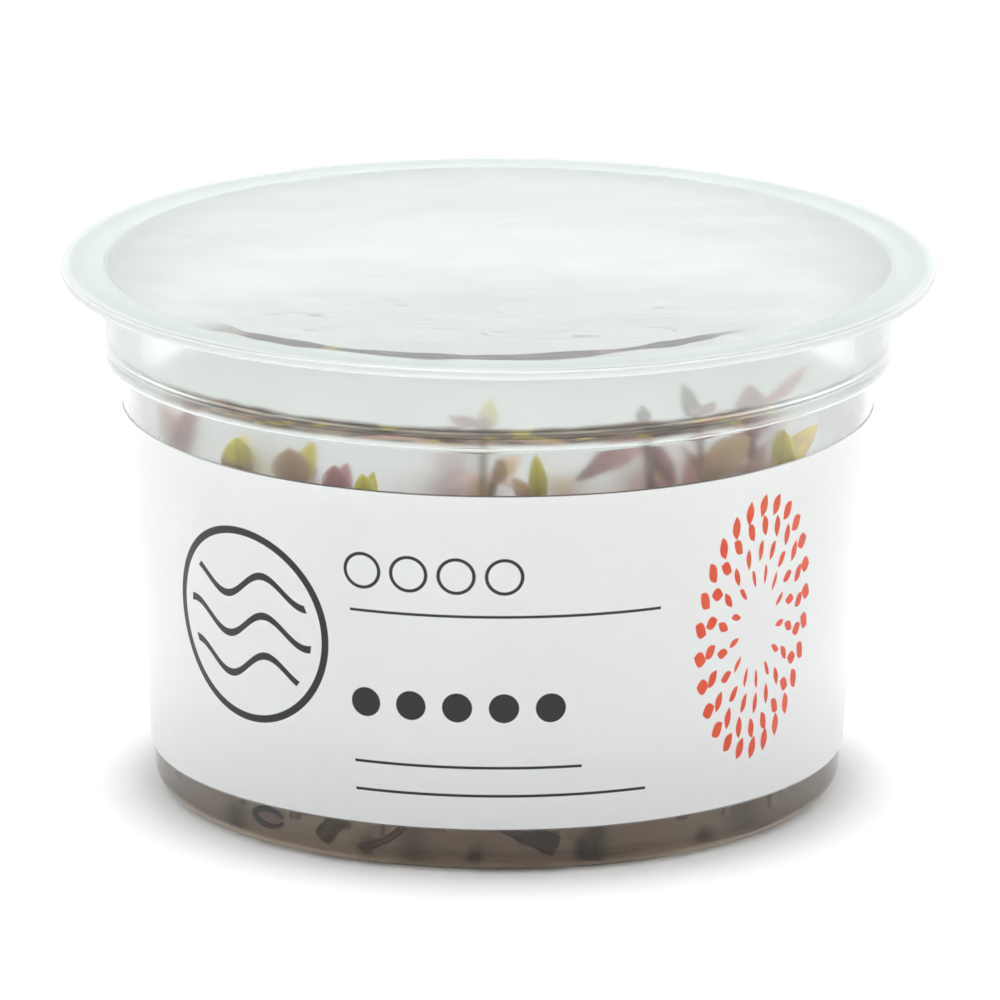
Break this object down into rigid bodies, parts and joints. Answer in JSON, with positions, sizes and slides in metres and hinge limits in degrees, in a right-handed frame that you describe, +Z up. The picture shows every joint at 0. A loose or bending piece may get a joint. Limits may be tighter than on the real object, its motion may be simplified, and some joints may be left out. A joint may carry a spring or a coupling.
{
  "type": "rotala culture cup",
  "caption": "Young rotala shoots standing in growth gel in a clear tissue-culture cup with a wide flange, a sealed film lid and a wrap label.",
  "frame": {"origin": "middle of the cup's flat underside, on the surface it stands on", "axes": "+Z up through the cup's axis, -Y towards the front that the label is read from, +X to the reader's right"},
  "size_m": [0.101, 0.101, 0.0625],
  "materials": {
    "cup_plastic": "clear, slightly milky moulded plastic",
    "lid_film": "clear heat-sealed film, misted inside",
    "label": "satin white printed film",
    "growth_gel": "wet see-through gel, brownish grey",
    "curled_leaf": "wet dark leaf",
    "old_stem": "wet dark stem",
    "leaf_green": "thin satin leaf, yellow-green",
    "leaf_red": "thin satin leaf, dusty red"
  },
  "bodies": {
    "root": {"cup": "cup_plastic", "lid_film": "lid_film", "label": "label", "growth_gel": "growth_gel", "curled_leaf": "curled_leaf", "stem_offcut_1": "old_stem", "stem_offcut_2": "old_stem", "stem_offcut_3": "old_stem", "shoot_01": "leaf_red", "shoot_02": "leaf_green", "shoot_03": "leaf_red", "shoot_04": "leaf_red", "shoot_05": "leaf_green", "shoot_06": "leaf_red", "shoot_07": "leaf_red", "shoot_08": "leaf_green", "shoot_09": "leaf_red", "shoot_10": "leaf_red", "shoot_11": "leaf_red", "shoot_12": "leaf_green", "shoot_13": "leaf_red", "shoot_14": "leaf_red", "shoot_15": "leaf_red", "shoot_16": "leaf_red", "shoot_17": "leaf_red", "shoot_18": "leaf_green", "shoot_19": "leaf_red", "shoot_20": "leaf_green", "shoot_21": "leaf_red", "shoot_22": "leaf_red"}
  },
  "joints": []
}
